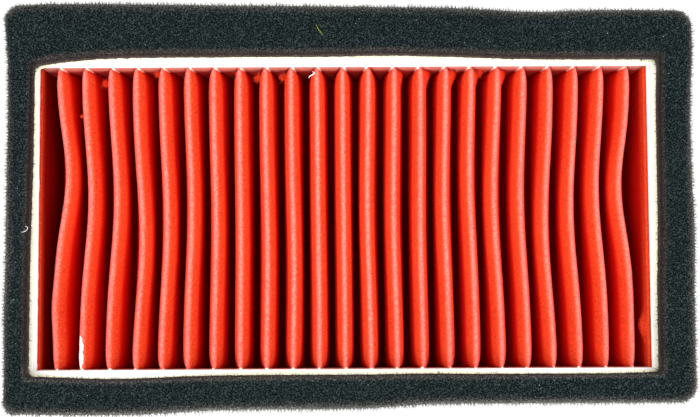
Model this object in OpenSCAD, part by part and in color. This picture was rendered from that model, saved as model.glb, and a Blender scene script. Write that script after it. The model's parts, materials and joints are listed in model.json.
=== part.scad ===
// Motorcycle panel air filter: a red pleated felt element in a white rail frame, with a
// charcoal foam gasket bonded to its flange and a welded wire screen under the pleats.
// Frame: +Z up towards the dirty side, +X along the long side. The origin is on the
// surface that the element lies on, at the middle of its outline.

/* [Frame] */
// Clear length between the left and right rails
inner_l = 190; // [190:1:220]
// Clear width between the front and rear rails
inner_w = 94.2; // [80:0.2:110]
// Height of the rails, from the resting surface to the rim
rail_h = 27; // [24:0.5:34]
// Thickness of the rail's web, flange and lip
rail_t = 1.2; // [1:0.1:1.6]
// Width of the inward lip at the bottom that carries the screen
lip_w = 3; // [2:0.5:4]
// How far the long rails run past the outside of the short ones
overrun = 2.4; // [2:0.1:3]
// Radius of the glue fillets at the four rail joints
corner_bead_r = 2; // [1:0.1:2.4]

/* [Foam gasket] */
// Thickness of the foam
foam_t = 8; // [5:0.5:14]
// Width of the gasket along the rear side
foam_rear_w = 15.1; // [8:0.1:20]
// Width of the gasket along the front side
foam_front_w = 10.1; // [8:0.1:20]
// Width of the gasket along the left side
foam_left_w = 6.4; // [6:0.1:20]
// Width of the gasket along the right side
foam_right_w = 9.7; // [6:0.1:20]
// Rim left bare at the rear, between the rail's inner face and the foam
rim_rear = 2.7; // [1:0.1:3.5]
// Rim left bare at the front
rim_front = 1.6; // [1:0.1:3.5]
// Rim left bare at the left and right
rim_side = 2.1; // [1:0.1:3.5]
// Corner radius of the gasket's outline
foam_corner_r = 5.5; // [3:0.5:9]
// Corner radius of the gasket's opening
opening_corner_r = 1.6; // [1:0.1:4]
// How far the foam stands past the edge of the flange
foam_overhang = 1.6; // [0.5:0.1:3]
// Thickness of the contact adhesive under the foam
adhesive_t = 0.3; // [0.2:0.05:0.6]
// How far the adhesive shows past the foam, on the rim
adhesive_show = 0.8; // [0.2:0.1:0.9]

/* [Pleats] */
// Number of pleats
pleats = 23; // [11:2:23]
// Distance from one pleat to the next
pitch = 8; // [6.5:0.1:8]
// Thickness of the felt
felt_t = 1; // [0.6:0.1:1.2]
// Radius of the felt's centreline at the crest of each fold
fold_r = 0.65; // [0.65:0.05:1]
// How far the pleat tops lie below the rim
pleat_drop = 0.5; // [0.2:0.1:2]
// How far the strip's two end panels stop below the rim
panel_drop = 1.2; // [0.5:0.1:4]
// Thickness of the seals along the pleat ends
end_seal_t = 0.8; // [0.4:0.1:1.5]

/* [Support screen] */
// Wire diameter
wire_d = 0.7; // [0.5:0.05:1]
// Distance from one wire to the next
mesh = 6.35; // [4:0.05:10]

/* [Hidden] */
$fn = 48;

gap = 0.05;               // clearance that keeps touching pieces apart
fold_turn = 62;           // degrees that a crest turns each way before its flanks run on
fold_swell = 1.8;         // how quickly a flank swells to the pleat's full width
arc_steps = 2;            // facets of half a crest
flank_steps = 3;          // facets of a swelling flank

// The gasket's opening and outline, with the frame's middle at x = 0, y = 0.
open_left = -inner_l / 2 - rim_side;
open_right = inner_l / 2 + rim_side;
open_front = -inner_w / 2 - rim_front;
open_rear = inner_w / 2 + rim_rear;
foam_left = open_left - foam_left_w;
foam_right = open_right + foam_right_w;
foam_front = open_front - foam_front_w;
foam_rear = open_rear + foam_rear_w;

// Where the frame's middle lies when the whole outline is centred on the origin.
frame_x = -(foam_left + foam_right) / 2;
frame_y = -(foam_front + foam_rear) / 2;

screen_z = rail_t;                        // underside of the screen, on the lips
felt_bottom = screen_z + 2 * wire_d + gap;
felt_top = rail_h - pleat_drop;
quarter = pitch / 4;                      // where a straight leg stands from its fold
foam_z = rail_h + adhesive_t;
charcoal = [0.14, 0.18, 0.19];
felt_red = [0.86, 0.16, 0.08];
glue_white = [0.93, 0.91, 0.84];

// A box from one corner to the opposite one.
module block(low, high) {
    translate(low) cube(high - low);
}

// Everything is drawn round the frame's middle and moved to the origin here.
module placed() {
    translate([frame_x, frame_y, 0]) children();
}

// A long rail for the rear (side = 1) or the front (side = -1): web, flange and lip.
module long_rail(side, flange_edge) {
    web_out = inner_w / 2 + rail_t;
    web_end = inner_l / 2 + rail_t + overrun;
    mirror([0, side > 0 ? 0 : 1, 0]) union() {
        block([-web_end, inner_w / 2, 0], [web_end, web_out, rail_h]);
        block([foam_left + foam_overhang, inner_w / 2, rail_h - rail_t],
              [foam_right - foam_overhang, flange_edge, rail_h]);
        block([-inner_l / 2, inner_w / 2 - lip_w, 0], [inner_l / 2, inner_w / 2, rail_t]);
    }
}

// A short rail for the right (side = 1) or the left (side = -1), between the long ones.
module short_rail(side, flange_edge) {
    half = inner_w / 2;
    mirror([side > 0 ? 0 : 1, 0, 0]) union() {
        block([inner_l / 2, -half, 0], [inner_l / 2 + rail_t, half, rail_h]);
        block([inner_l / 2, -half, rail_h - rail_t], [flange_edge, half, rail_h]);
        block([inner_l / 2 - lip_w, lip_w - half, 0], [inner_l / 2, half - lip_w, rail_t]);
    }
}

module rear_frame_rail() {
    color("white") placed() long_rail(1, foam_rear - foam_overhang);
}

module front_frame_rail() {
    color("white") placed() long_rail(-1, -foam_front - foam_overhang);
}

module left_frame_rail() {
    color("white") placed() short_rail(-1, -foam_left - foam_overhang);
}

module right_frame_rail() {
    color("white") placed() short_rail(1, foam_right - foam_overhang);
}

// A quarter-round glue fillet in the outer angle of each rail joint, below the flange.
module corner_glue_beads() {
    x = inner_l / 2 + rail_t;
    y = inner_w / 2;
    color(glue_white) placed() for (sx = [-1, 1], sy = [-1, 1])
        translate([sx * x, sy * y, 1])
            intersection() {
                cylinder(r = corner_bead_r, h = rail_h - rail_t - 2);
                block([min(0, sx * 9), min(0, -sy * 9), 0],
                      [max(0, sx * 9), max(0, -sy * 9), rail_h]);
            }
}

// Evenly spaced wires along Y, centred on x = 0.
module wires(span, length, z) {
    count = floor(span / mesh / 2);
    for (i = [-count : count])
        translate([i * mesh, length / 2, z]) rotate([90, 0, 0])
            cylinder(d = wire_d, h = length, $fn = 24);
}

module screen_cross_wires() {
    color("silver") placed()
        wires(inner_l - 2, inner_w - 0.6, screen_z + wire_d / 2 + gap / 2);
}

module screen_long_wires() {
    color("silver") placed() rotate([0, 0, 90])
        wires(inner_w - 2, inner_l - 0.6, screen_z + wire_d * 1.5 + gap / 2);
}

// Half a fold's centreline, from its crest to full width, as [distance aside, drop].
function half_fold() =
    let (arc_w = fold_r * sin(fold_turn),
         arc_h = fold_r * (1 - cos(fold_turn)),
         flank_h = fold_swell * (quarter - arc_w) * tan(fold_turn))
    concat(
        [for (i = [0 : arc_steps])
            let (a = fold_turn * i / arc_steps) [fold_r * sin(a), fold_r * (1 - cos(a))]],
        [for (i = [1 : flank_steps])
            let (t = i / flank_steps)
                [arc_w + (quarter - arc_w) * (1 - pow(1 - t, fold_swell)), arc_h + flank_h * t]]);

// A whole fold from left to right about x, with its crest at z and its legs below (up = 1)
// or above (up = -1).
function fold(x, z, up) =
    let (half = half_fold(), last = len(half) - 1)
    concat(
        [for (i = [last : -1 : 1]) [x - half[i].x, z - up * half[i].y]],
        [for (p = half) [x + p.x, z - up * p.y]]);

// The strip's centreline from its left panel to its right one.
function strip_line() =
    let (low = felt_bottom + felt_t / 2,
         top = felt_top - felt_t / 2,
         panel_x = pleats * pitch / 2 + quarter,
         panel_z = rail_h - panel_drop)
    concat(
        [[-panel_x, panel_z]],
        [for (i = [0 : 2 * pleats])
            for (p = fold((i - pleats) * pitch / 2, i % 2 == 0 ? low : top, i % 2 == 0 ? -1 : 1)) p],
        [[panel_x, panel_z]]);

// The line moved sideways by off, to the left of its run for off > 0.
function beside(line, off) =
    let (last = len(line) - 1)
    [for (i = [0 : last])
        let (run = line[min(i + 1, last)] - line[max(i - 1, 0)])
            line[i] + off * [-run.y, run.x] / norm(run)];

// The strip's section: its upper face, and back along its lower face.
module felt_section() {
    line = strip_line();
    under = beside(line, -felt_t / 2);
    polygon(concat(
        beside(line, felt_t / 2),
        [for (i = [len(under) - 1 : -1 : 0]) under[i]]));
}

module pleated_media() {
    length = inner_w - 2 * end_seal_t - 2 * gap;
    color(felt_red) placed()
        translate([0, length / 2, 0]) rotate([90, 0, 0])
            linear_extrude(height = length) felt_section();
}

// The adhesive along the pleat ends, on the rear (side = 1) or front (side = -1) rail.
module end_seal(side) {
    half = inner_l / 2;
    mirror([0, side > 0 ? 0 : 1, 0])
        block([-half, inner_w / 2 - end_seal_t, felt_bottom],
              [half, inner_w / 2, rail_h - panel_drop]);
}

// The adhesive behind the strip's end panel, on the right (side = 1) or left (side = -1).
module edge_seal(side) {
    panel_out = pleats * pitch / 2 + quarter + felt_t / 2 + gap;
    half = inner_w / 2 - end_seal_t - gap;
    mirror([side > 0 ? 0 : 1, 0, 0])
        block([panel_out, -half, felt_bottom + 2], [inner_l / 2, half, rail_h - 2 * panel_drop]);
}

module rear_end_seal() {
    color(glue_white) placed() end_seal(1);
}

module front_end_seal() {
    color(glue_white) placed() end_seal(-1);
}

module left_edge_seal() {
    color(glue_white) placed() edge_seal(-1);
}

module right_edge_seal() {
    color(glue_white) placed() edge_seal(1);
}

// A rectangle from one corner to the other with true round corners.
module round_rect(low, high, r) {
    union() {
        translate([low.x + r, low.y]) square([high.x - low.x - 2 * r, high.y - low.y]);
        translate([low.x, low.y + r]) square([high.x - low.x, high.y - low.y - 2 * r]);
        for (x = [low.x + r, high.x - r], y = [low.y + r, high.y - r])
            translate([x, y]) circle(r);
    }
}

// A flat ring between the outline and the opening, each moved in (+) or out (-).
module ring(height, shrink, grow_in) {
    linear_extrude(height = height) difference() {
        round_rect([foam_left + shrink, foam_front + shrink],
                   [foam_right - shrink, foam_rear - shrink], foam_corner_r);
        round_rect([open_left + grow_in, open_front + grow_in],
                   [open_right - grow_in, open_rear - grow_in], opening_corner_r);
    }
}

module gasket_adhesive() {
    color([0.87, 0.85, 0.66]) placed() translate([0, 0, rail_h])
        ring(adhesive_t, foam_overhang + 1, adhesive_show);
}

module foam_gasket() {
    color(charcoal) placed() translate([0, 0, foam_z]) ring(foam_t, 0, 0);
}

rear_frame_rail();
front_frame_rail();
left_frame_rail();
right_frame_rail();
corner_glue_beads();
screen_cross_wires();
screen_long_wires();
pleated_media();
rear_end_seal();
front_end_seal();
left_edge_seal();
right_edge_seal();
gasket_adhesive();
foam_gasket();
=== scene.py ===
"""Looks of the motorcycle panel air filter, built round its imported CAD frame.

Red pleated felt in a white rail frame, with a charcoal open-cell foam gasket on the flange.
Every length below is in metres, so MM turns millimetres into them.
"""

import json
import math

import bpy
import numpy as np
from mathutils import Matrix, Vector, noise

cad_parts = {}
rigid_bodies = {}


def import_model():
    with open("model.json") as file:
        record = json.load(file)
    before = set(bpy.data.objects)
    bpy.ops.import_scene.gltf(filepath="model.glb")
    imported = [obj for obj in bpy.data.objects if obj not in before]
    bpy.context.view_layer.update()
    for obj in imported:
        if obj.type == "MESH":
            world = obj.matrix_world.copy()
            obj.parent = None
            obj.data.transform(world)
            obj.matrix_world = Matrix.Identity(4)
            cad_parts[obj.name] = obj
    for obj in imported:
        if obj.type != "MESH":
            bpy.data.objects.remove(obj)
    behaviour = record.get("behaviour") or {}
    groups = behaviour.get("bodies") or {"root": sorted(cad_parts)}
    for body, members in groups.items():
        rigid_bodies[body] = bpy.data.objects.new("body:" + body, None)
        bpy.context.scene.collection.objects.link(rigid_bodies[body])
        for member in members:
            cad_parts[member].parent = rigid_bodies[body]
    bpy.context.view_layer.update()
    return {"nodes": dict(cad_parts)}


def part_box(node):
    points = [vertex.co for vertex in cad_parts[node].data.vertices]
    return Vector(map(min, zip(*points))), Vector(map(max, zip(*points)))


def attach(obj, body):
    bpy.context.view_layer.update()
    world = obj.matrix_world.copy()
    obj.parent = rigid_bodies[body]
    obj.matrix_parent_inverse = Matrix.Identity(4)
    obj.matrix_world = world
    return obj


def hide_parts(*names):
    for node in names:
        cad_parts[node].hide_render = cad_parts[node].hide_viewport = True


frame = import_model()

MM = 0.001
rng = np.random.default_rng(23)
noise.seed_set(23)  # without this, noise_vector differs from run to run

# ---------------------------------------------------------------- places, from the CAD frame
rear_lo, rear_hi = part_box("rear_end_seal")
front_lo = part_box("front_end_seal")[0]
felt_lo, felt_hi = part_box("pleated_media")
foam_lo, foam_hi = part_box("foam_gasket")
film_lo, film_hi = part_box("gasket_adhesive")
LEFT, RIGHT, FRONT, REAR = rear_lo.x, rear_hi.x, front_lo.y, rear_hi.y
MID_X, MID_Y = (LEFT + RIGHT) / 2, (FRONT + REAR) / 2
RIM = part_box("rear_frame_rail")[1].z
HALF_W = (REAR - FRONT) / 2

# ---------------------------------------------------------------- the pleated strip
PLEATS = 23
PITCH = 8.085 * MM
FELT_T = 0.95 * MM
FELT_CLEARANCE = 0.04 * MM  # to the rails, all round
HALF_STRIP = HALF_W - FELT_CLEARANCE - 0.1 * MM  # half the strip's width
FOLD_R = 0.65 * MM  # of the felt's centreline at a crest
FOLD_TURN = math.radians(62)
FOLD_REACH = 1.62 * MM  # aside from a crest to where its flank turns into a leg
FOLD_SWELL = 3  # how gradually a flank straightens, against a straight one
LEG_FAT = 0.62 * MM  # how much further a face stands out deep on a flank than at a crease
PINCH = 1.6 * MM  # how far from a long rail a pleat's pressed end fades out
LEAN = 1.7 * MM  # how far the foot of a pleat at either side stands in from its crest
ROWS = 60  # of points along a pleat
TO_PANEL, TO_PANEL_SHADE = 22, 12  # points from an outermost crest to its end panel, to felt painted darker as shade
# The crumple in the right end panel: its depth, how far forward of the middle, half its length.
CRUMPLE, CRUMPLE_AT, CRUMPLE_WIDE = 2 * MM, 34 * MM, 3.4 * MM
# Where a pleat's right flank was dragged aside along the rear rail, and how far, in mm.
DRAGGED_MM = {13: 2.4, 14: 3.6, 15: 4.2, 16: 2.8, 17: 3.6}
# How far each pleat bows towards the middle, from left to right, and where along it, in mm:
# the ones near the sides most, and never all at the same place.
BOW_MM = (3.4, 2.5, 2.5, 2.4, 1.9, 1.3, 0.8, 0.4, 0.5, 0.6, 0.3, -0.1,
          -0.8, -0.75, -0.6, -1.1, -1.3, -1.9, -1.8, -2.3, -2.4, -2.4, -3.4)
BOW_AT_MM = (13, 6, 6, -6, -2, 3, -2, -8, -9, -15, -25, 0,
             2, -2, -4, 6, 12, 5, 5, -2, 1, 7, 9)


def mesh_object(name, points, faces, smooth=True):
    """A new object at the origin from points and faces."""
    mesh = bpy.data.meshes.new(name)
    mesh.from_pydata(np.asarray(points, float).tolist(), [], np.asarray(faces).tolist()
                     if isinstance(faces, np.ndarray) else faces)
    mesh.validate()
    mesh.polygons.foreach_set("use_smooth", [smooth] * len(mesh.polygons))
    obj = bpy.data.objects.new(name, mesh)
    bpy.context.collection.objects.link(obj)
    return obj


def vertex_values(obj, name, values):
    """Keeps one number for each vertex, for a material to read."""
    layer = obj.data.attributes.new(name, "FLOAT", "POINT")
    layer.data.foreach_set("value", np.asarray(values, np.float32))


def grid_faces(rows, cols, wrap_rows=False, wrap_cols=False, start=0, flip=False):
    """Quads over a grid of points stored row by row."""
    i, j = np.meshgrid(np.arange(rows if wrap_rows else rows - 1),
                       np.arange(cols if wrap_cols else cols - 1), indexing="ij")
    i2, j2 = (i + 1) % rows, (j + 1) % cols
    quads = [i * cols + j, i * cols + j2, i2 * cols + j2, i2 * cols + j]
    if flip:
        quads.reverse()
    return np.stack(quads, -1).reshape(-1, 4) + start


def smooth_noise(points, size, seed=0.0):
    """Smooth noise from about -1 to 1 at each point, with lumps of that size."""
    return np.array([noise.noise(Vector(p) / size + Vector((seed, 2 * seed, -seed)))
                     for p in points])


def vector_noise(points, size, seed=0.0):
    """Three independent smooth noises at each point."""
    return np.array([noise.noise_vector(Vector(p) / size + Vector((seed, -seed, 3 * seed)))
                     for p in points])


def tube(path, radius, sides=5):
    """Points and faces of a closed thin tube along a path, pointed at both ends."""
    path = np.asarray(path, float)
    run = np.gradient(path, axis=0)
    run /= np.linalg.norm(run, axis=1)[:, None]
    helper = np.array([0.31, 0.17, 0.94])
    side = np.cross(run, helper)
    side /= np.linalg.norm(side, axis=1)[:, None]
    other = np.cross(run, side)
    turns = 2 * math.pi * np.arange(sides) / sides
    taper = np.sin(np.linspace(0.15, math.pi - 0.15, len(path))) ** 0.35
    rings = [path[k] + radius * taper[k] * (np.cos(a) * side[k] + np.sin(a) * other[k])
             for k in range(len(path)) for a in turns]
    faces = grid_faces(len(path), sides, wrap_cols=True).tolist()
    faces.append(list(range(sides))[::-1])
    faces.append([(len(path) - 1) * sides + k for k in range(sides)])
    return np.array(rings), faces


def joined(parts):
    """Several (points, faces) as one."""
    points, faces, start = [], [], 0
    for p, f in parts:
        points.append(p)
        faces += [[int(v) + start for v in face] for face in f]
        start += len(p)
    return np.concatenate(points), faces


def half_fold():
    """Half a fold of the felt's centreline, as [distance aside, drop], from its crest."""
    arc_w, arc_h = FOLD_R * math.sin(FOLD_TURN), FOLD_R * (1 - math.cos(FOLD_TURN))
    flank_h = FOLD_SWELL * (FOLD_REACH - arc_w) * math.tan(FOLD_TURN)
    arc = [(FOLD_R * math.sin(a), FOLD_R * (1 - math.cos(a)))
           for a in (0, FOLD_TURN / 2, FOLD_TURN)]
    flank = [(arc_w + (FOLD_REACH - arc_w) * (1 - (1 - t) ** FOLD_SWELL), arc_h + flank_h * t)
             for t in (0.12, 0.28, 0.5, 1)]
    return np.array(arc + flank)


def wave(place, y):
    """How far the strip stands aside at one fold (0 to 22, halves are valleys) and place."""
    place = min(max(place, 0), PLEATS - 1)
    bow = np.interp(place, range(PLEATS), BOW_MM) * MM
    at = np.interp(place, range(PLEATS), BOW_AT_MM) * MM
    out = abs(place - (PLEATS - 1) / 2) / ((PLEATS - 1) / 2)
    wide = (28 - 9 * out ** 8) * MM
    v = (y - MID_Y) / HALF_W
    aside = bow * math.exp(-(((y - MID_Y - at) / wide) ** 2))
    aside -= 0.25 * MM * (1 - out) * v
    if place < 1:
        aside -= 0.6 * MM * (1 - place) * math.exp(-(((y - MID_Y) / MM + 28) / 8) ** 2)
    return aside


def strip_rows():
    """The felt's centreline at each row: an array of rows by points by (x, y, z).

    Also gives the place of every pleat's crest in a row."""
    half = half_fold()
    u = np.linspace(-1, 1, ROWS)
    ys = MID_Y + HALF_STRIP * (0.7 * u + 0.3 * np.sin(math.pi * u / 2))
    fold_noise = rng.normal(0, 1, (2 * PLEATS + 1, 4))
    limit = (RIGHT - LEFT) / 2 - FELT_T / 2 - FELT_CLEARANCE
    rows = []
    for y in ys:
        v = (y - MID_Y) / HALF_W
        to_wall = (1 - abs(v)) * HALF_W
        # The share by which the glue presses a fold's halves together, less so further down.
        tight = 0.97 * math.exp(-to_wall / PINCH) * np.exp(-half[:, 1] / (30 * MM))
        shape = np.column_stack([half[:, 0] * (1 - tight), half[:, 1]])
        by_rear = max(0, 1 - (REAR - y) / (5.5 * MM))
        dragged = by_rear * np.exp(-(((half[:, 1] / MM - 8) / 3.5) ** 2)) * MM
        line, crests = [], []
        for k in range(2 * PLEATS + 1):
            crest = k % 2 == 1
            n = fold_noise[k]
            aside = wave((k - 1) / 2, y) * (1 if crest else 0.25)
            aside += 0.04 * MM * (n[0] * math.sin(3 * v + n[1]) + n[2] * v) * (1 - v * v)
            x = MID_X + (k - PLEATS) * PITCH / 2 + aside
            if crest:
                z = felt_hi.z - FELT_T / 2 + 0.16 * MM * math.sin(3 * v + 5 * n[3])
                drag = DRAGGED_MM.get(k // 2, 0) * dragged
                out = (x - MID_X) / limit
                slim_left = 1 - 0.15 * max(out, 0) - 0.2 * max(-out, 0)
                slim_right = 1 - 0.15 * max(-out, 0) - 0.2 * max(out, 0)
                left = [(x - a * slim_left, z - d) for a, d in shape[:0:-1]]
                right = [(x + a * slim_right + b, z - d) for (a, d), b in zip(shape, drag)]
            else:
                z = felt_lo.z + FELT_T / 2
                left = [(x - a, z + d) for a, d in half[:0:-1]]
                right = [(x + a, z + d) for a, d in half]
            if line:
                line += leg(line[-1], left[0], 2)
            line += left + right
            if crest:
                crests.append(len(line) - len(right))
        line = [(x - LEAN * (x - MID_X) / limit * (felt_hi.z - z) / (felt_hi.z - felt_lo.z), z)
                for x, z in line]
        panel = end_panel(line[0], y, -1)[::-1]
        line = panel + line + end_panel(line[-1], y, 1)
        crests = [c + len(panel) for c in crests]
        rows.append([(min(max(x, MID_X - limit), MID_X + limit), y, z) for x, z in line])
    return np.array(rows), crests


def leg(a, b, steps):
    """Points between a and b, without either."""
    return [(a[0] + (b[0] - a[0]) * t, a[1] + (b[1] - a[1]) * t)
            for t in np.linspace(0, 1, steps + 2)[1:-1]]


def end_panel(foot, y, side):
    """The strip's end panel up the left (side -1) or right rail, with its torn top edge.

    The right one is crumpled into the gap for a stretch near the front."""
    ragged = noise.noise(Vector((side * 7, y / (2.5 * MM), 1))) + \
        0.6 * noise.noise(Vector((side * 3, y / (0.9 * MM), 4)))
    top = RIM - (0.75 + 0.35 * ragged) * MM
    crumple = 0.0
    if side > 0:
        crumple = CRUMPLE * math.exp(-(((y - MID_Y + CRUMPLE_AT) / CRUMPLE_WIDE) ** 2))
    x = foot[0]
    wall = (RIGHT if side > 0 else LEFT) - side * (FELT_T / 2 + FELT_CLEARANCE)
    out = []
    for t, bulge in ((0.25, 0), (0.5, 0.3), (0.7, 1), (0.85, 0.85), (0.95, 0.15), (1, 0)):
        out.append((x + (wall - x) * min(1, 2 * t) - side * crumple * bulge,
                    foot[1] + (top - foot[1]) * t))
    return out


def felt_faces_at(rows, off):
    """The rows moved off the centreline to one face of the felt."""
    run = np.gradient(rows[:, :, [0, 2]], axis=1)
    run /= np.linalg.norm(run, axis=2)[:, :, None]
    moved = rows.copy()
    moved[:, :, 0] -= off * run[:, :, 1]
    moved[:, :, 2] += off * run[:, :, 0]
    return moved


def pleated_felt():
    """The folded strip, with its rows, its crests' columns and its developed length."""
    rows, crests = strip_rows()
    count = rows.shape[1]
    flat = rows.reshape(-1, 3)
    lumps = 0.05 * MM * smooth_noise(flat, 2.2 * MM) + 0.03 * MM * smooth_noise(flat, 0.9 * MM, 5)
    lumps = lumps.reshape(rows.shape[:2])
    crease = np.minimum(felt_hi.z - rows[:, :, 2], rows[:, :, 2] - felt_lo.z) - FELT_T / 2
    fat = LEG_FAT * (1 - np.exp(-np.maximum(crease, 0) / (9 * MM)))
    to_wall = HALF_W - np.abs(rows[:, :, 1] - MID_Y)
    fat = fat * (1 - 0.9 * np.exp(-to_wall / PINCH))
    column = np.arange(count)
    flat_back = (column < crests[0] - TO_PANEL) | (column > crests[-1] + TO_PANEL)
    upper = felt_faces_at(rows, FELT_T / 2 + fat + lumps)
    lower = felt_faces_at(rows, np.where(flat_back, -FELT_T / 2, -FELT_T / 2 - fat + lumps))
    points = np.concatenate([upper.reshape(-1, 3), lower.reshape(-1, 3)])
    size = ROWS * count
    faces = [grid_faces(ROWS, count), grid_faces(ROWS, count, start=size, flip=True)]
    for row, flip in ((0, True), (ROWS - 1, False)):
        a = row * count + np.arange(count - 1)
        quad = [a, a + 1, a + 1 + size, a + size]
        faces.append(np.stack(quad if not flip else quad[::-1], -1))
    for col, flip in ((0, False), (count - 1, True)):
        a = np.arange(ROWS - 1) * count + col
        quad = [a, a + count, a + count + size, a + size]
        faces.append(np.stack(quad if not flip else quad[::-1], -1))
    felt = mesh_object("pleated_felt", points, np.concatenate(faces))
    # Painted shade: the end panels' felt is painted darker, all of the left one and a third as much of
    # the right.
    painted_panel_shade = np.select([column < crests[0] - TO_PANEL_SHADE, column > crests[-1] + TO_PANEL_SHADE],
                       [1.0, 0.35])
    vertex_values(felt, "painted_panel_shade", np.tile(painted_panel_shade, 2 * ROWS))
    vertex_values(felt, "crest", np.concatenate([crest_fuzz_and_highlight(upper, crests), np.zeros(size)]))
    middle = rows[ROWS // 2]
    developed = float(np.linalg.norm(np.diff(middle, axis=0), axis=1).sum())
    return felt, rows, crests, developed


def crest_fuzz_and_highlight(upper, crests):
    """How fuzzy the felt is at each point, and how much highlight is painted there: most along a
    crest, and on its outward shoulder.
    """
    fuzz_and_painted_highlight = np.zeros(upper.shape[:2])
    for crest in crests:
        near = slice(crest - 6, crest + 7)
        middle = upper[:, crest, 0][:, None]
        aside = upper[:, near, 0] - middle
        out = (middle - MID_X) / (RIGHT - MID_X)
        wide = (1.1 + 0.6 * np.abs(out) + 0.8 * out ** 8) * MM
        fuzz_and_painted_highlight[:, near] = np.clip(1 - np.abs(aside - 0.8 * MM * out) / wide, 0, 1)
    return fuzz_and_painted_highlight.ravel()


# ---------------------------------------------------------------- materials
class Nodes:
    """Short calls for building one material's node tree."""

    def __init__(self, name):
        self.mat = bpy.data.materials.new(name)
        self.mat.use_nodes = True
        self.tree = self.mat.node_tree
        self.tree.nodes.clear()
        self.out = self.add("ShaderNodeOutputMaterial")
        self.place = self.add("ShaderNodeTexCoord").outputs["Object"]

    def add(self, kind, **settings):
        node = self.tree.nodes.new(kind)
        for key, value in settings.items():
            setattr(node, key, value)
        return node

    def put(self, value, socket):
        """Links a socket, or sets a plain value."""
        if isinstance(value, bpy.types.NodeSocket):
            self.tree.links.new(value, socket)
        elif isinstance(value, (tuple, list)) and len(value) == 3 and socket.type == "RGBA":
            socket.default_value = (*value, 1)
        else:
            socket.default_value = value

    def value_of(self, layer):
        """A number kept on the mesh by vertex_values."""
        return self.add("ShaderNodeAttribute", attribute_name=layer).outputs["Fac"]

    def noise(self, size, detail=2, roughness=0.5):
        """Noise with lumps of that size in metres."""
        node = self.add("ShaderNodeTexNoise")
        self.put(self.place, node.inputs["Vector"])
        node.inputs["Scale"].default_value = 1 / size
        node.inputs["Detail"].default_value = detail
        node.inputs["Roughness"].default_value = roughness
        return node.outputs["Fac"]

    def cells(self, size):
        """Distance to the middle of the nearest cell, for cells of that size in metres."""
        node = self.add("ShaderNodeTexVoronoi", feature="F1")
        self.put(self.place, node.inputs["Vector"])
        node.inputs["Scale"].default_value = 1 / size
        return node.outputs["Distance"]

    def math(self, kind, a, b=0.0):
        node = self.add("ShaderNodeMath", operation=kind)
        for value, socket in zip((a, b), node.inputs):
            self.put(value, socket)
        return node.outputs[0]

    def remap(self, value, low, high, to_low=0.0, to_high=1.0, smooth=True):
        """Takes a number from the range low to high into the range to_low to to_high."""
        node = self.add("ShaderNodeMapRange",
                        interpolation_type="SMOOTHSTEP" if smooth else "LINEAR")
        for given, socket in zip((value, low, high, to_low, to_high), node.inputs):
            self.put(given, socket)
        return node.outputs[0]

    def mix(self, fac, a, b, blend="MIX"):
        node = self.add("ShaderNodeMix", data_type="RGBA", blend_type=blend)
        self.put(fac, node.inputs[0])
        self.put(a, node.inputs[6])
        self.put(b, node.inputs[7])
        return node.outputs[2]

    def grey(self, value):
        """A number as a colour."""
        node = self.add("ShaderNodeCombineColor")
        for socket in node.inputs:
            self.put(value, socket)
        return node.outputs[0]

    def axis(self, value, name):
        node = self.add("ShaderNodeSeparateXYZ")
        self.put(value, node.inputs[0])
        return node.outputs[name]

    def bump(self, height, distance, strength=1.0):
        node = self.add("ShaderNodeBump")
        self.put(height, node.inputs["Height"])
        node.inputs["Distance"].default_value = distance
        node.inputs["Strength"].default_value = strength
        return node.outputs[0]

    def surface(self, **inputs):
        """The finished material, from a principled shader's inputs."""
        shader = self.add("ShaderNodeBsdfPrincipled")
        for name, value in inputs.items():
            self.put(value, shader.inputs[name.replace("_", " ")])
        self.put(shader.outputs[0], self.out.inputs["Surface"])
        return self.mat


def felt_material():
    """Thick red needled felt: mottled, matt, fuzzier along the crests and painted paler there as a
    highlight, with painted shade deep in the gaps and on the end panels.
    """
    n = Nodes("red_felt")
    height = n.axis(n.place, "Z")
    crest = n.remap(n.value_of("crest"), 0, 1)
    mottle = n.noise(0.65 * MM, 4, 0.75)
    blotch = n.noise(4 * MM, 2)
    red = n.mix(n.remap(mottle, 0.36, 0.66), (0.6, 0.03, 0.008), (0.9, 0.09, 0.026))
    red = n.mix(n.remap(blotch, 0.35, 0.7, 0, 0.3), red, (0.86, 0.06, 0.014))
    # Painted shade: below the rim the felt is painted a darker, deeper red.
    within = n.remap(height, RIM - 3 * MM, RIM - 9 * MM)
    red = n.mix(within, red, (0.66, 0.009, 0.003))
    # Painted highlight, partly fibre fuzz: the crests and their outward shoulders are painted paler.
    pale = n.mix(n.remap(mottle, 0.36, 0.66), (0.8, 0.1, 0.075), (0.93, 0.24, 0.2))
    colour = n.mix(crest, red, pale)
    # Painted shade: darker still far down the gaps.
    painted_depth_shade = n.remap(height, RIM - 9 * MM, RIM - 22 * MM, 0, 0.35)
    colour = n.mix(painted_depth_shade, colour, (0.3, 0.002, 0.001))
    # Painted shade on the end panels, stronger further down the rail.
    painted_panel_shade = n.math("MULTIPLY", n.value_of("painted_panel_shade"),
                    n.remap(height, RIM - 0.5 * MM, RIM - 6 * MM, 0.45, 1))
    colour = n.mix(painted_panel_shade, colour, (0.2, 0.001, 0.0005))
    # A little light shines through the felt into the gaps, more of it towards both sides.
    aside = n.math("ABSOLUTE", n.math("SUBTRACT", n.axis(n.place, "X"), MID_X))
    shine_through = n.math("MULTIPLY", within, n.remap(aside, 20 * MM, 60 * MM, 0.006, 0.018))
    fibres = n.math("ADD", n.noise(0.22 * MM, 3, 0.7), n.math("MULTIPLY", mottle, 0.8))
    return n.surface(Base_Color=colour, Roughness=0.85, Specular_IOR_Level=0.06,
                     Sheen_Weight=n.math("MULTIPLY", crest, 0.2), Sheen_Roughness=0.45,
                     Sheen_Tint=(1, 0.5, 0.45), Normal=n.bump(fibres, 0.12 * MM, 0.7),
                     Emission_Color=(1, 0, 0), Emission_Strength=shine_through)


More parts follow.
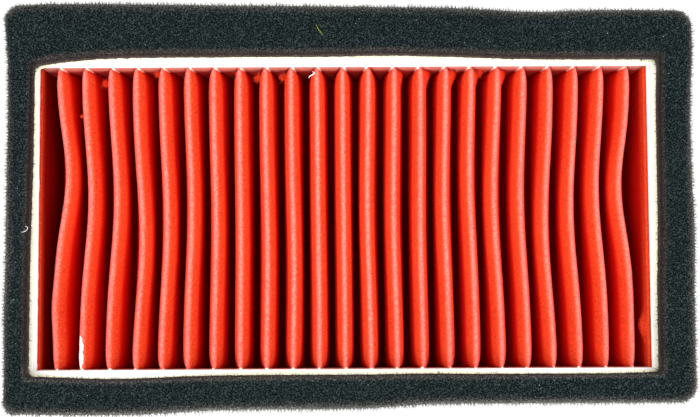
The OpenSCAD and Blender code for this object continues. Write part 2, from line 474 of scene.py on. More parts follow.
def foam_material():
    """Charcoal open-cell foam: dark pores and paler struts, with painted light: brown on its inner
    wall, paler round its outer edge and on strut tips, and glints.
    """
    n = Nodes("gasket_foam")
    pores = n.cells(0.42 * MM)
    fine = n.cells(0.26 * MM)
    struts = n.remap(n.math("ADD", pores, n.math("MULTIPLY", fine, 0.7)), 0.6, 1.2, smooth=False)
    struts = n.math("POWER", struts, 2)
    island = n.add("ShaderNodeNewGeometry").outputs["Random Per Island"]
    glint = n.remap(island, 0.85, 1, 0, 0.8)
    dark = n.mix(struts, (0.0013, 0.0032, 0.0036), (0.032, 0.046, 0.047))
    dark = n.mix(glint, dark, (0.1, 0.13, 0.13))
    ragged = n.math("MULTIPLY", n.math("SUBTRACT", n.noise(0.8 * MM, 3), 0.5), 2.4)
    inner = n.remap(n.math("ADD", n.value_of("from_inner"), ragged), 2.1, 0.5)
    outer = n.remap(n.math("ADD", n.value_of("from_outer"), ragged), 3.4, -0.8)
    # Painted light on the cut inner wall: brightest along the front, a little brighter along the rear
    # than at the sides, and brighter towards its foot.
    along = n.axis(n.place, "Y")
    wall = n.math("MULTIPLY", n.remap(along, REAR - 4 * MM, REAR + 2 * MM, 0.85, 1.0),
                  n.remap(along, FRONT + 4 * MM, FRONT - 1 * MM, 1, 1.8))
    wall = n.math("MULTIPLY", wall, n.remap(n.axis(n.place, "Z"), foam_hi.z - 1 * MM,
                                            foam_lo.z + 1 * MM, 1, 2.7))
    painted_inner_light = n.mix(struts, (0.016, 0.0155, 0.015), (0.082, 0.074, 0.067))
    painted_inner_light = n.mix(1.0, painted_inner_light, n.grey(wall), "MULTIPLY")
    # Painted light: the outer edge is painted paler than the top, its rounded lip paler still, and the
    # cut strut tips pale grey.
    painted_lit_tip = n.mix(n.remap(island, 0.0, 1.0), (0.3, 0.29, 0.27), (0.62, 0.6, 0.56))
    edge = n.mix(struts, (0.012, 0.012, 0.011), (0.15, 0.145, 0.13))
    lip = n.mix(struts, (0.07, 0.068, 0.06), (0.4, 0.39, 0.36))
    edge = n.mix(n.remap(n.value_of("from_outer"), 1.3, 0.1), edge, lip)
    edge = n.mix(n.value_of("strut"), edge, painted_lit_tip)
    dark = n.mix(inner, dark, painted_inner_light)
    dark = n.mix(outer, dark, edge)
    # Painted glints: the flakes are painted pale.
    dark = n.mix(n.remap(n.value_of("strut"), 1.5, 2.5), dark, (0.5, 0.54, 0.52))
    return n.surface(Base_Color=dark, Roughness=0.9, Specular_IOR_Level=0.02,
                     Normal=n.bump(n.math("ADD", pores, fine), 0.4 * MM, 0.8))


def rail_material():
    """White moulded plastic, slightly creamy and uneven, with painted shade greying it below its rim
    and a faint painted glow at its rim.
    """
    n = Nodes("frame_plastic")
    cloud = n.noise(14 * MM, 3)
    grain = n.noise(0.5 * MM, 2)
    white = n.mix(n.remap(cloud, 0.35, 0.7), (0.87, 0.855, 0.825), (0.9, 0.89, 0.87))
    height = n.axis(n.place, "Z")
    # Painted shade below the rim, and a faint painted glow at the rim.
    painted_shade_below_rim = n.remap(height, RIM - 0.15 * MM, RIM - 0.6 * MM)
    painted_shade_grey = n.mix(n.remap(cloud, 0.35, 0.7), (0.6, 0.59, 0.56), (0.66, 0.65, 0.63))
    white = n.mix(painted_shade_below_rim, white, painted_shade_grey)
    glow = n.remap(height, RIM - 0.6 * MM, RIM - 0.15 * MM, 0, 0.1)
    return n.surface(Base_Color=white, Roughness=n.remap(grain, 0.3, 0.7, 0.38, 0.5),
                     Emission_Color=white, Emission_Strength=glow, Specular_IOR_Level=0.45,
                     Normal=n.bump(grain, 0.02 * MM, 0.5))


def glue_material():
    """Set adhesive: off-white, a little translucent and glossy."""
    n = Nodes("set_adhesive")
    cloud = n.noise(2 * MM, 3)
    colour = n.mix(n.remap(cloud, 0.3, 0.7), (0.84, 0.76, 0.66), (0.9, 0.87, 0.82))
    return n.surface(Base_Color=colour, Roughness=0.35, Specular_IOR_Level=0.5,
                     Normal=n.bump(n.noise(0.7 * MM, 2), 0.05 * MM, 0.6))


def seal_material():
    """The pleat seals' adhesive: off-white in its thick fillets, which get a painted glow; elsewhere
    painted red as light bounced off the felt, and painted darker deeper down.
    """
    n = Nodes("red_lit_adhesive")
    cloud = n.noise(1.2 * MM, 3)
    off_white = n.mix(n.remap(cloud, 0.3, 0.7), (0.86, 0.7, 0.62), (0.9, 0.82, 0.76))
    # Painted light and shade: red light bounced off the felt, darker deeper down the wall.
    painted_red_bounce = n.mix(n.remap(cloud, 0.3, 0.7), (0.58, 0.19, 0.14), (0.66, 0.28, 0.22))
    low = n.remap(n.axis(n.place, "Z"), RIM - 2.5 * MM, RIM - 9 * MM)
    painted_red_bounce = n.mix(low, painted_red_bounce, (0.3, 0.012, 0.008))
    colour = n.mix(n.value_of("off_white"), painted_red_bounce, off_white)
    glow = n.math("MULTIPLY", n.value_of("off_white"), 0.35)
    return n.surface(Base_Color=colour, Roughness=0.4, Specular_IOR_Level=0.4,
                     Emission_Color=colour, Emission_Strength=glow,
                     Normal=n.bump(n.noise(0.6 * MM, 2), 0.05 * MM, 0.6))


def film_material():
    """Dried contact adhesive: yellowish, streaky, thin at its edge."""
    n = Nodes("contact_adhesive")
    streak = n.noise(1.6 * MM, 3)
    by_foam = n.mix(n.remap(streak, 0.35, 0.65), (0.88, 0.86, 0.54), (0.93, 0.91, 0.68))
    spread = n.mix(n.remap(streak, 0.35, 0.65), (0.95, 0.89, 0.76), (0.96, 0.92, 0.84))
    colour = n.mix(n.remap(n.value_of("from_foam"), 0.3, 1.3), by_foam, spread)
    # A faint painted glow lifts it where the foam shades it.
    return n.surface(Base_Color=colour, Roughness=0.42, Specular_IOR_Level=0.5,
                     Emission_Color=colour, Emission_Strength=0.05,
                     Normal=n.bump(streak, 0.08 * MM, 0.6))


def wire_material():
    """Galvanised steel wire, dull and spangled."""
    n = Nodes("galvanised_wire")
    spangle = n.cells(0.9 * MM)
    colour = n.mix(n.remap(spangle, 0.2, 0.8), (0.48, 0.49, 0.5), (0.66, 0.67, 0.68))
    return n.surface(Base_Color=colour, Metallic=0.9,
                     Roughness=n.remap(spangle, 0.1, 0.8, 0.3, 0.5))


def floor_material():
    """Pale board that glows a little, like a light table."""
    n = Nodes("pale_floor")
    return n.surface(Base_Color=(0.5, 0.5, 0.5), Roughness=0.9,
                     Emission_Color=(1, 1, 1), Emission_Strength=0.45)


# ---------------------------------------------------------------- the foam gasket
FOAM_INNER_R = 1.6 * MM
FOAM_CORNER_R = {"rear_right": 5 * MM, "rear_left": 4.2 * MM, "front_left": 3.6 * MM,
                 "front_right": 5.6 * MM}
SIDE_STEP = 1.1 * MM  # between stations round the ring
ARC_STATIONS = 12


def round_outline(low, high, radii):
    """Stations round a rectangle with round corners, anticlockwise from its right side.

    Every outline has the same number of stations on each side and corner, so that
    stations of the same number face each other across the ring."""
    long_n = int((foam_hi.x - foam_lo.x) / SIDE_STEP)
    short_n = int((foam_hi.y - foam_lo.y) / SIDE_STEP)
    corners = [
        (high.x, high.y, 0, radii["rear_right"]), (low.x, high.y, 90, radii["rear_left"]),
        (low.x, low.y, 180, radii["front_left"]), (high.x, low.y, 270, radii["front_right"])]
    arcs = []
    for x, y, start, r in corners:
        cx, cy = x - math.copysign(r, x - MID_X), y - math.copysign(r, y - MID_Y)
        arcs.append([(cx + r * math.cos(a), cy + r * math.sin(a))
                     for a in np.radians(start + 90 * np.linspace(0, 1, ARC_STATIONS))])
    points = []
    for k, arc in enumerate(arcs):
        points += arc
        nxt = arcs[(k + 1) % 4][0]
        points += leg(arc[-1], nxt, long_n if k % 2 == 0 else short_n)
    return np.array(points)


def uneven(points, low, high, rear, front, left, right):
    """Moves an outline's sides by functions of the place along them, fading to the middle."""
    x, y = points[:, 0] - MID_X, points[:, 1] - MID_Y
    fx = np.where(x > 0, x / (high.x - MID_X), x / (low.x - MID_X))
    fy = np.where(y > 0, y / (high.y - MID_Y), y / (low.y - MID_Y))
    dy = np.where(y > 0, rear(x / MM), front(x / MM)) * MM * fy ** 3
    dx = np.where(x > 0, right(y / MM), left(y / MM)) * MM * fx ** 3
    return points + np.stack([dx, dy], -1)


def hump(v, at, wide, tall):
    """A rounded bump of that height at one place along a side, in millimetres."""
    return tall * np.exp(-(((v - at) / wide) ** 2))


def step(v, at, wide, tall):
    """A smooth rise by that height at one place along a side, in millimetres."""
    return tall * (1 + np.tanh((v - at) / wide)) / 2


def foam_outlines():
    """The gasket's opening and outline: hand-cut, so a little off square."""
    opening_lo = Vector((LEFT - 2.1 * MM, FRONT - 1.6 * MM))
    opening_hi = Vector((RIGHT + 2.1 * MM, REAR + 2.7 * MM))
    inner_radii = dict.fromkeys(FOAM_CORNER_R, FOAM_INNER_R)
    inner = uneven(
        round_outline(opening_lo, opening_hi, inner_radii), opening_lo, opening_hi,
        rear=lambda x: (0.25 - 3 * np.exp(-np.abs(x + 97) / 10) + hump(x, -84, 9, -0.25)
                        + hump(x, 12, 14, 0.35) + step(x, 44, 12, -1.1)),
        front=lambda x: -0.1 + hump(x, -70, 20, -0.95) + hump(x, 26, 10, 0.25) + hump(x, 95, 8, 0.3),
        left=lambda y: step(y, 2, 20, 0.84),
        right=lambda y: step(y, -14, 10, 0.72) - 0.3 + hump(y, 47, 9, 0.45))
    outer = uneven(
        round_outline(foam_lo, foam_hi, FOAM_CORNER_R), foam_lo, foam_hi,
        rear=lambda x: (-0.1 - 0.0155 * x + hump(x, 59, 16, -0.95) + hump(x, -45, 20, -0.12)
                        - 1.65 * np.exp(-(x + 105) / 10)),
        front=lambda x: -1.66 + step(x, -51, 12, 1.44) + step(x, 16, 10, 1.5) + hump(x, -98, 9, 0.3),
        left=lambda y: 0.05 + hump(y, 62, 9, -0.9) + hump(y, -30, 10, -0.3) + hump(y, 31, 16, 0.3),
        right=lambda y: (0.3 + hump(y, 54, 13, 0.85) + hump(y, 30, 10, -0.2) + hump(y, -6, 12, 0.5)
                         + step(-y, 36, 6, -0.05)))
    return inner, outer


def foam_section():
    """The ring's section as (kind, where, height), and the radii of its two top edges.

    Where is the distance from the inner edge for "in" and from the outer one for "out", and
    a share of the width for "share", or of what lies between the top edges for "flat"."""
    top = foam_hi.z - foam_lo.z
    r_in, r_out, r_low = 1.2 * MM, 1.9 * MM, 0.5 * MM
    points = []
    points += [("share", t, 0.0) for t in (0.94, 0.5, 0.06)]  # the underside, going inward
    points += [("in", r_low * 0.35, r_low * 0.2), ("in", 0.0, r_low)]
    for z in np.linspace(r_low, top - r_in, 8)[1:]:
        points.append(("in", 0.0, z))
    for a in np.radians([18, 36, 54, 72, 90]):
        points.append(("in", r_in * (1 - math.cos(a)), top - r_in * (1 - math.sin(a))))
    for t in np.linspace(0, 1, 17)[1:-1]:
        points.append(("flat", t, top))
    for a in np.radians([90, 72, 54, 36, 18, 0]):
        points.append(("out", r_out * (1 - math.cos(a)), top - r_out * (1 - math.sin(a))))
    for z in np.linspace(top - r_out, r_low, 7)[1:]:
        points.append(("out", 0.0, z))
    points.append(("out", r_low * 0.35, r_low * 0.2))
    return points, r_in, r_out


def foam_gasket():
    """The foam ring: its section swept round both outlines, with cut struts all over it."""
    inner, outer = foam_outlines()
    section, r_in, r_out = foam_section()
    across = outer - inner
    width = np.linalg.norm(across, axis=1)
    across = across / width[:, None]
    stations, count = len(inner), len(section)
    grid = np.zeros((stations, count, 3))
    s_all = np.zeros((stations, count))  # distance from the inner edge
    for j, (kind, a, z) in enumerate(section):
        if kind == "in":
            s = np.full(stations, a)
        elif kind == "out":
            s = width - a
        elif kind == "share":
            s = width * a
        else:
            s = r_in + (width - r_in - r_out) * a
        s_all[:, j] = s
        grid[:, j, :2] = inner + across * s[:, None]
        grid[:, j, 2] = foam_lo.z + z
    flat = grid.reshape(-1, 3)
    coarse, fine = vector_noise(flat, 0.8 * MM), vector_noise(flat, 0.45 * MM, 9)
    flat = flat + 0.16 * MM * coarse + 0.12 * MM * fine
    lumps = 0.28 * MM * smooth_noise(flat, 11 * MM, 3)
    top_share = np.clip((flat[:, 2] - foam_lo.z) / (foam_hi.z - foam_lo.z), 0, 1)
    flat[:, 2] += lumps * top_share
    flat[:, 2] = np.maximum(flat[:, 2], foam_lo.z + 0.02 * MM)
    faces = grid_faces(stations, count, wrap_rows=True, wrap_cols=True, flip=True)
    spots, flake, *struts = cut_struts(flat.reshape(stations, count, 3), section)
    points, faces = joined([(flat, faces), struts])
    foam = mesh_object("foam_ring", points, faces)
    from_inner = s_all.ravel() / MM
    from_outer = (np.repeat(width[:, None], count, 1) - s_all).ravel() / MM
    # A strut's tip is painted pale as lit fuzz, and a flake is marked by 3, which no strut reaches,
    # for its painted glint.
    painted_tip_and_glint_light = np.where(flake[:, None], 3, [0.15, 0.15, 0.15, 1])
    vertex_values(foam, "strut", np.concatenate([np.zeros(len(flat)), painted_tip_and_glint_light.ravel()]))
    vertex_values(foam, "from_inner", np.concatenate([from_inner, np.repeat(from_inner[spots], 4)]))
    vertex_values(foam, "from_outer", np.concatenate([from_outer, np.repeat(from_outer[spots], 4)]))
    return foam


def cut_struts(grid, section):
    """Cut cell walls that stand out of the foam: slim closed spikes, densest on the edges."""
    du = np.roll(grid, -1, 0) - np.roll(grid, 1, 0)
    dv = np.roll(grid, -1, 1) - np.roll(grid, 1, 1)
    normal = np.cross(dv, du)
    normal /= np.linalg.norm(normal, axis=2)[:, :, None]
    kinds = np.array([k for k, a, z in section])
    heights = np.array([z for k, a, z in section])
    top = foam_hi.z - foam_lo.z
    wanted = {"in": 5500, "flat": 1500, "out": 28000}
    weight = np.zeros(len(section))
    for kind, number in wanted.items():
        picked = kinds == kind
        foot = (heights[picked] < 0.2 * top) & (kind == "in")
        share = np.where((heights[picked] > 0.6 * top) | foot, 1.0, 0.12)
        weight[picked] = number * share / share.sum()
    chance = np.tile(weight, (grid.shape[0], 1))
    chance /= chance.sum()
    total = sum(wanted.values())
    chosen = rng.choice(chance.size, total, p=chance.ravel())
    i, j = np.unravel_index(chosen, chance.shape)
    kind = kinds[j]
    base = grid[i, j] + rng.normal(0, 0.12 * MM, (len(i), 3))
    n = normal[i, j] * np.where(kind == "out", 0.3, 1.0)[:, None] ** [0, 0, 1]
    n /= np.linalg.norm(n, axis=1)[:, None]
    lean = np.where(kind == "flat", 1.3, 0.8)[:, None]
    aim = n + lean * rng.normal(0, 0.6, (len(i), 3))
    aim /= np.linalg.norm(aim, axis=1)[:, None]
    long = np.select([kind == "out", kind == "in"],
                     [rng.gamma(1.8, 0.4, len(i)), rng.gamma(4, 0.13, len(i))],
                     rng.gamma(4, 0.1, len(i))) * MM
    long = np.clip(long, 0.15 * MM, 1.9 * MM)
    wide = rng.uniform(0.05, 0.12, len(i)) * MM
    # The opening's cut is more ragged along the front part of the right side.
    long[(kind == "in") & (base[:, 0] > RIGHT - 3 * MM) & (base[:, 1] < MID_Y - 20 * MM)] *= 1.7
    # A few of the struts on top are wide flakes, painted bright as glints.
    flake = (kind == "flat") & (np.arange(len(i)) % 36 == 0)
    wide[flake], long[flake] = 0.19 * MM, 0.35 * MM
    side = np.cross(aim, rng.normal(0, 1, (len(i), 3)))
    side /= np.linalg.norm(side, axis=1)[:, None]
    other = np.cross(aim, side)
    root = base - 0.15 * MM * n
    corners = [root + wide[:, None] * (math.cos(a) * side + math.sin(a) * other)
               for a in (0, 2 * math.pi / 3, 4 * math.pi / 3)]
    tip = base + long[:, None] * aim
    points = np.stack([*corners, tip], 1).reshape(-1, 3)
    first = 4 * np.arange(len(i))[:, None]
    faces = np.concatenate([first + np.array(f) for f in ((0, 2, 1), (0, 1, 3), (1, 2, 3), (2, 0, 3))])
    return i * len(section) + j, flake, points, faces


# ---------------------------------------------------------------- adhesives
def adhesive_film():
    """The contact adhesive under the foam, squeezed out past it by an uneven amount."""
    inner, outer = foam_outlines()
    x, y = (inner[:, 0] - MID_X) / MM, (inner[:, 1] - MID_Y) / MM
    rear = 0.1 + hump(x, 12, 20, 0.9) + step(x, 76, 9, 1.5)
    front = 0.15 + hump(x, 3, 34, 1.6) + hump(x, 92, 12, 1.1) + hump(x, -97, 4, 1.4)
    left = 1.3 + step(-y, -12, 14, 0.6)
    right = 1.5 + 0.3 * np.sin(y / 6) + step(-y, 25, 8, 0.5)
    along_rail = 47.5  # stations further than this from the middle lie along a long rail
    show = np.select([y > along_rail, y < -along_rail, x < 0], [rear, front, left], right)
    show = show + 0.18 * smooth_noise(np.stack([x, y, 0 * x], -1), 2.0)
    show = np.convolve(np.concatenate([show[-6:], show, show[:6]]), np.ones(13) / 13, "valid")
    show = np.clip(show, 0.05, 2.0)[:, None]
    across = outer - inner
    across /= np.linalg.norm(across, axis=1)[:, None]
    edge = inner - across * show * MM
    back = inner + across * 3 * MM
    low, high = film_lo.z, film_hi.z
    rings = [(back, low), (edge, low), (edge + across * 0.06 * MM, low + 0.7 * (high - low)),
             (edge + across * 0.35 * MM, high), (back, high)]
    points = np.stack([np.column_stack([p, np.full(len(p), z)]) for p, z in rings], 1)
    faces = grid_faces(len(inner), len(rings), wrap_rows=True, wrap_cols=True, flip=True)
    film = mesh_object("contact_adhesive_film", points.reshape(-1, 3), faces)
    vertex_values(film, "from_foam", (show * [0, 1, 1, 0.6, 0]).ravel())
    return film


SKIN = 0.16 * MM  # of adhesive on a long rail's wall, between the fillets


def end_seal(name, node, side):
    """Adhesive on the rear (side 1) or front rail: a skin on the wall, thicker in fillets
    round the pleats' ends. At the front there is a dab where each crest meets the rail."""
    lo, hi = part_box(node)
    line = felt_rows[-1 if side > 0 else 0][:, [0, 2]]
    crest_x, crest_z = line[felt_crests].T
    xs = np.linspace(lo.x + FELT_CLEARANCE, hi.x - FELT_CLEARANCE, 560)
    near_crest = np.exp(-(np.abs(xs[:, None] - crest_x[None]).min(1) / (0.9 * MM)) ** 2)
    climb = (0.3 if side > 0 else 0.35) * MM
    top = RIM - 0.75 * MM + 0.15 * MM * np.sin(xs / (1.9 * MM)) + climb * near_crest
    levels = np.linspace(0, 1, 46) ** 0.6
    zs = lo.z + (top[:, None] - lo.z) * levels[None]
    gx = np.repeat(xs[:, None], len(levels), 1)
    flat = np.stack([gx, zs], -1).reshape(-1, 2)
    away = np.maximum(distance_to_line(flat, line) - FELT_T / 2, 0)
    depth = RIM - flat[:, 1]
    nearest = crest_x[np.abs(flat[:, :1] - crest_x[None]).argmin(1)]
    inward = np.clip((flat[:, 0] - nearest) * np.sign(MID_X - nearest) / (0.8 * MM), -1, 1)
    if side > 0:
        bead = (0.12 + 0.5 * inward) * MM * np.exp(-((away / (0.42 * MM)) ** 2))
        bead *= 0.05 + np.exp(-((depth / (8 * MM)) ** 4))
    else:
        bead = 0.12 * MM * np.exp(-((away / (0.4 * MM)) ** 2))
    lean = rng.normal(0, 0.3 * MM, PLEATS)
    size = rng.uniform(0.5, 1.05, PLEATS)
    dab_thick = 0 if side > 0 else 0.5 * MM
    dab = np.zeros(len(flat))
    for x, z, off, big in zip(crest_x, crest_z, lean, size):
        far = ((flat[:, 0] - x - off) / (0.45 * big * MM)) ** 2
        far += ((flat[:, 1] - z - FELT_T / 2 - 0.15 * MM) / (0.4 * MM)) ** 2
        dab += dab_thick * big * np.exp(-far)
    rough = 0.05 * MM * smooth_noise(np.column_stack([flat, 0 * away]), 1.1 * MM, 7)
    thin = np.tile(1 - 0.6 * np.clip((levels - 0.96) / 0.04, 0, 1), len(xs))
    skin = (SKIN + rough) * thin + bead + dab
    wall = hi.y - FELT_CLEARANCE if side > 0 else lo.y + FELT_CLEARANCE
    inside = np.stack([flat[:, 0], wall - side * skin, flat[:, 1]], -1)
    outside = np.stack([flat[:, 0], np.full(len(flat), wall), flat[:, 1]], -1)
    n, cols, count = len(flat), len(xs), len(levels)
    rim = [(i, 0) for i in range(cols)] + [(cols - 1, j) for j in range(1, count)] + \
          [(i, count - 1) for i in range(cols - 2, -1, -1)] + \
          [(0, j) for j in range(count - 2, 0, -1)]
    ids = [i * count + j for i, j in rim]
    faces = grid_faces(cols, count, flip=side > 0).tolist()
    faces += grid_faces(cols, count, start=n, flip=side < 0).tolist()
    for a, b in zip(ids, ids[1:] + ids[:1]):
        faces.append([a, b, b + n, a + n] if side < 0 else [b, a, a + n, b + n])
    seal = mesh_object(name, np.concatenate([inside, outside]), faces)
    off_white = np.clip((bead + dab) / SKIN - 0.9, 0, 1)
    vertex_values(seal, "off_white", np.concatenate([off_white, off_white]))
    return seal


def distance_to_line(points, line):
    """Distance from each point to a polyline, in plan."""
    a, b = line[:-1], line[1:]
    run = b - a
    best = np.full(len(points), 1.0)
    for p, d in zip(a, run):
        close = np.abs(points[:, 0] - p[0]) < 6 * MM
        q = points[close] - p
        t = np.clip(q @ d / max(d @ d, 1e-12), 0, 1)
        best[close] = np.minimum(best[close], np.linalg.norm(q - t[:, None] * d, axis=1))
    return best


def edge_seal(name, node, side):
    """Adhesive between the right (side 1) or left end panel and its rail, with an uneven top."""
    lo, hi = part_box(node)
    ys = np.linspace(FRONT + 0.15 * MM, REAR - 0.15 * MM, 90)
    top = hi.z if side > 0 else RIM - 0.2 * MM
    top = top + 0.2 * MM * smooth_noise(np.column_stack([0 * ys + side, ys, 0 * ys]), 3 * MM)
    wall = (RIGHT if side > 0 else LEFT) - side * 0.005 * MM
    face = wall - side * (FELT_CLEARANCE + 0.25 * MM)
    over = 0.2 if side < 0 else 0.4
    wander = smooth_noise(np.column_stack([0 * ys + 5 * side, ys, 0 * ys]), 5 * MM)
    lip = wall - side * (over + 0.2 * wander) * MM
    rings = [(wall, lo.z + 0 * top), (face, lo.z + 0 * top), (face, top - 0.75 * MM),
             (lip, top - 0.6 * MM), (lip, top - 0.3 * MM), ((wall + face) / 2, top),
             (wall, top + 0.1 * MM)]
    points = np.stack([np.column_stack([0 * ys + x, ys, z]) for x, z in rings], 1)
    count = len(rings)
    faces = grid_faces(len(ys), count, wrap_cols=True, flip=side < 0).tolist()
    faces.append(list(range(count)) if side > 0 else list(range(count))[::-1])
    last = [(len(ys) - 1) * count + k for k in range(count)]
    faces.append(last[::-1] if side > 0 else last)
    seal = mesh_object(name, points.reshape(-1, 3), faces)
    vertex_values(seal, "off_white", np.tile([1, 0.9, 0.6, 0.35, 0.45, 0.75, 0.9], len(ys)))
    return seal


def corner_beads():
    """The glue fillets in the outer angles of the rail joints: lumpy, run thin at the ends."""
    lo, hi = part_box("corner_glue_beads")
    parts = []
    r, heights, turns = 2 * MM, 36, 9
    for sx in (-1, 1):
        for sy in (-1, 1):
            x = (hi.x if sx > 0 else lo.x) - sx * r
            y = hi.y if sy > 0 else lo.y
            zs = np.linspace(lo.z, hi.z, heights)
            points = []
            for k, z in enumerate(zs):
                fade = min(1, (k + 0.3) / 4, (heights - k - 0.7) / 4) ** 0.5
                for a in np.linspace(0, math.pi / 2, turns):
                    lump = 1 + 0.16 * noise.noise(Vector((x * 90 + a, y * 90, z / (3 * MM))))
                    reach = r * fade * lump * (1 - 0.22 * math.sin(2 * a))
                    points.append((x + sx * reach * math.cos(a), y - sy * reach * math.sin(a), z))
                points.append((x - sx * 0.1 * MM, y + sy * 0.1 * MM, z))
            cols = turns + 1
            flip = sx * sy > 0
            faces = grid_faces(heights, cols, wrap_cols=True, flip=flip).tolist()
            ends = list(range(cols)), [(heights - 1) * cols + k for k in range(cols)]
            faces.append(ends[0] if flip else ends[0][::-1])
            faces.append(ends[1][::-1] if flip else ends[1])
            parts.append((np.array(points), faces))
    return mesh_object("corner_glue_fillets", *joined(parts))


# ---------------------------------------------------------------- small marks of making
def surface_point(pleat, from_rear, aside):
    """A point on the upper face of a pleat, and the way out from it.

    The place is so far from the rear rail, and aside is a share of the half fold from the
    crest: -1 at the foot of its left shoulder, 1 at the foot of its right one."""
    y = REAR - from_rear
    i = min(int(np.searchsorted(felt_rows[:, 0, 1], y)), ROWS - 1)
    before, after = felt_rows[i - 1], felt_rows[i]
    line = before + (after - before) * (y - before[0, 1]) / (after[0, 1] - before[0, 1])
    at = felt_crests[pleat] + aside * (len(half_fold()) - 1)
    j = int(math.floor(at))
    run = line[j + 1] - line[j]
    out = np.array([-run[2], 0, run[0]]) / np.linalg.norm(run)
    return line[j] + run * (at - j) + out * FELT_T / 2, out


def stray_glue():
    """A smear of adhesive down the left shoulder of the second pleat, at its front end,
    and a string of it curled by the rear rail."""
    rows_n, cols_n = 30, 9
    top, low = [], []
    for i in range(rows_n):
        t = i / (rows_n - 1)
        fat = (1 - t ** 6) ** 0.5
        from_rear = REAR - FRONT - (0.25 + 10.6 * t) * MM
        for j in range(cols_n):
            s = j / (cols_n - 1)
            drift = 0.06 * noise.noise(Vector((s, t * 5, 8)))
            p, out = surface_point(1, from_rear, -0.6 + 0.6 * s * fat + 0.05 * t + drift)
            lens = (math.sin(math.pi * s) ** 0.6) * fat
            wobble = 1 + 0.35 * noise.noise(Vector((s * 2, t * 6, 3)))
            top.append(p + out * (0.02 + 0.3 * lens * wobble) * MM)
            low.append(p - out * 0.25 * MM)
    n = rows_n * cols_n
    faces = grid_faces(rows_n, cols_n, flip=True).tolist()
    faces += grid_faces(rows_n, cols_n, start=n).tolist()
    ring = list(range(cols_n)) + [i * cols_n + cols_n - 1 for i in range(1, rows_n)]
    ring += [n - 1 - j for j in range(1, cols_n)]
    ring += [i * cols_n for i in range(rows_n - 2, 0, -1)]
    faces += [[a, b, b + n, a + n] for a, b in zip(ring, ring[1:] + ring[:1])]
    start, out = surface_point(10, 1.2 * MM, -0.45)
    t = np.linspace(0, 1, 14)
    bend = np.stack([0.75 * np.sin(5.2 * t) - 0.35 * t, -2.1 * t, 0.5 * np.sin(3 * t)], -1) * MM
    string = tube(start + np.array([-0.5, 0, 0.4]) * MM + bend, 0.16 * MM, 6)
    return mesh_object("stray_glue", *joined([(np.array(top + low), faces), string]))


# Tufts of felt torn up when the strip was folded: (pleat, mm from the rear rail, share of
# the half fold from its crest, size in mm).
TUFTS = ((2, 4.3, -0.85, 1.5), (4, 1.7, -0.7, 1.2), (8, 3, -0.75, 1.5), (9, 2.6, -0.85, 1.6),
         (15, 1.4, 0.75, 1), (16, 1.2, 0.9, 1.6), (1, 15, -0.6, 0.7), (7, 0.8, -0.9, 0.7))


def foam_fibres():
    """Two loose fibres lying on the foam: one curled by the left side, one at the rear."""
    t = np.linspace(0, 1, 16)
    turn = np.radians(-95 + 200 * t)
    high = foam_hi.z + 0.25 * MM
    curl = np.stack([1.1 * np.cos(turn) - 1.3 * (1 - t), 0.9 * np.sin(turn), 0.15 * np.sin(9 * t)], -1)
    bend = np.stack([1.9 * t ** 1.6, -3 * t, 0.2 * np.sin(5 * t)], -1)
    return [("pale_fibre_on_foam", tube(np.array([MID_X - 96.9 * MM, MID_Y - 4.0 * MM, high]) +
                                        curl * MM, 0.1 * MM)),
            ("green_fibre_on_foam", tube(np.array([MID_X - 8.2 * MM, MID_Y + 58.8 * MM, high]) +
                                         bend * MM, 0.11 * MM))]


def fibre_material(name, colour, lighter):
    """A loose thread: one colour, faintly streaked along it."""
    n = Nodes(name)
    streak = n.noise(0.3 * MM, 2)
    return n.surface(Base_Color=n.mix(n.remap(streak, 0.3, 0.7), colour, lighter), Roughness=0.6,
                     Specular_IOR_Level=0.3, Normal=n.bump(streak, 0.03 * MM, 0.5))


def torn_fibres():
    """The tufts of torn felt, each a knot of curled fibres."""
    parts = []
    for pleat, from_rear, aside, size in TUFTS:
        middle, out = surface_point(pleat, from_rear * MM, aside)
        for _ in range(int(150 * size)):
            spot = rng.normal(0, 1, 3) * [0.4, 0.35, 0.2] * size * MM
            start = middle + out * 0.5 * size * MM + spot
            aim = rng.normal(0, 1, 3)
            curl = rng.normal(0, 1.2, 3)
            steps = np.linspace(0, 1, 6)[:, None]
            path = start + (aim * steps + curl * steps ** 2) * rng.uniform(0.1, 0.26) * size * MM
            parts.append(tube(path, rng.uniform(0.03, 0.06) * MM))
    return mesh_object("torn_felt_fibres", *joined(parts))


# ---------------------------------------------------------------- build
def paint(obj, material):
    obj.data.materials.clear()
    obj.data.materials.append(material)


def finish_piece(obj, material, slot, *nodes):
    """Gives a piece its material and its body, and hides the CAD nodes it stands for. The slot is not
    used.
    """
    paint(obj, material)
    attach(obj, "root")
    if nodes:
        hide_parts(*nodes)
    return obj


felt, felt_rows, felt_crests, developed_length = pleated_felt()
foam = foam_gasket()
red, white_glue, seal_glue = felt_material(), glue_material(), seal_material()
finish_piece(felt, red, "red_felt", "pleated_media")
finish_piece(foam, foam_material(), "gasket_foam", "foam_gasket")
finish_piece(adhesive_film(), film_material(), "contact_adhesive", "gasket_adhesive")
for make_seal, piece_name, node_name, side in (
        (end_seal, "rear_pleat_seal", "rear_end_seal", 1),
        (end_seal, "front_pleat_seal", "front_end_seal", -1),
        (edge_seal, "right_panel_seal", "right_edge_seal", 1),
        (edge_seal, "left_panel_seal", "left_edge_seal", -1)):
    finish_piece(make_seal(piece_name, node_name, side), seal_glue, "adhesive", node_name)
finish_piece(corner_beads(), white_glue, "adhesive", "corner_glue_beads")
finish_piece(stray_glue(), white_glue, "adhesive")
finish_piece(torn_fibres(), red, "red_felt")
for (piece_name, fibre), (dull, light) in zip(foam_fibres(), (
        ((0.6, 0.58, 0.6), (0.8, 0.78, 0.8)), ((0.16, 0.2, 0.01), (0.26, 0.3, 0.02)))):
    finish_piece(mesh_object(piece_name, *fibre), fibre_material(piece_name, dull, light),
                 "gasket_foam")

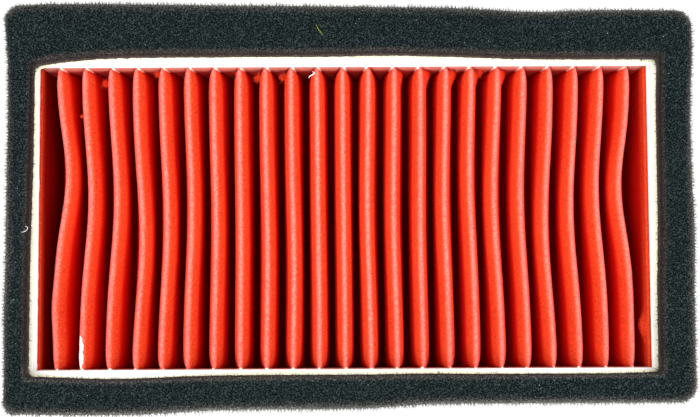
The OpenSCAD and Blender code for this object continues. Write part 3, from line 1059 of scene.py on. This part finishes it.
rail_white, wire_grey = rail_material(), wire_material()
for rail in ("rear_frame_rail", "front_frame_rail", "left_frame_rail", "right_frame_rail"):
    obj = frame["nodes"][rail]
    paint(obj, rail_white)
    weld = obj.modifiers.new("weld", "WELD")
    weld.merge_threshold = 0.01 * MM
    bevel = obj.modifiers.new("soft edges", "BEVEL")
    bevel.width = 0.25 * MM
    bevel.segments = 3
    bevel.limit_method = "ANGLE"
    bevel.harden_normals = True
for wires in ("screen_cross_wires", "screen_long_wires"):
    paint(frame["nodes"][wires], wire_grey)

# ---------------------------------------------------------------- floor, lights and camera
STAGE_REACH = 4
STAGE_HIGH = 0.7
outline = [(x * STAGE_REACH, y * STAGE_REACH) for x, y in ((-1, -1), (1, -1), (1, 1), (-1, 1))]
floor = mesh_object("floor", [(x, y, 0) for x, y in outline], [[0, 1, 2, 3]], False)
floor.location.z = -0.2 * MM
floor.data.materials.append(floor_material())
backdrop = mesh_object("backdrop", [(x, y, z) for z in (-MM, STAGE_HIGH) for x, y in outline],
                       [[k, (k + 1) % 4, (k + 1) % 4 + 4, k + 4] for k in range(4)], False)
backdrop.data.materials.append(floor.data.materials[0])

world = bpy.data.worlds.new("studio")
bpy.context.scene.world = world
world.use_nodes = True
sky = world.node_tree.nodes["Background"]
sky.inputs["Color"].default_value = (0.95, 0.97, 1, 1)
sky.inputs["Strength"].default_value = 0.12


def area_light(name, size, power, place, tilt=0.0):
    """A light of that width and height, tilted from straight down towards the rear."""
    lamp = bpy.data.lights.new(name, "AREA")
    lamp.shape = "RECTANGLE"
    lamp.size, lamp.size_y = size
    lamp.energy = power
    obj = bpy.data.objects.new(name, lamp)
    obj.location = place
    obj.rotation_euler = (tilt, 0, 0)
    bpy.context.collection.objects.link(obj)
    return obj


for side_name, side in (("left", -1), ("right", 1)):
    area_light(side_name + "_softbox", (0.96, 1.4), 22, (MID_X + side * 0.7, MID_Y - 0.12, 1))
low_object = area_light("low_front_light", (0.3, 0.3), 9.5, (MID_X, MID_Y - 1.2, 0.48),
                        math.radians(69))
# It is kept off the white rails, the floor and the backdrop, which would burn out.
lit = bpy.data.collections.new("lit_from_the_front")
for item in bpy.context.scene.objects:
    if item.type == "MESH" and item.name not in ("floor", "backdrop") and "rail" not in item.name:
        lit.objects.link(item)
low_object.light_linking.receiver_collection = lit

camera_data = bpy.data.cameras.new("camera")
camera_data.sensor_width = 36  # both in millimetres
camera_data.lens = 78.8
camera = bpy.data.objects.new("camera", camera_data)
camera.location = (MID_X - 1.5 * MM, MID_Y - 34.9 * MM, RIM + 475 * MM)
camera.rotation_euler = [math.radians(a) for a in (4.51, -0.39, -0.28)]
bpy.context.collection.objects.link(camera)
bpy.context.scene.camera = camera
bpy.context.scene.view_settings.view_transform = "Standard"
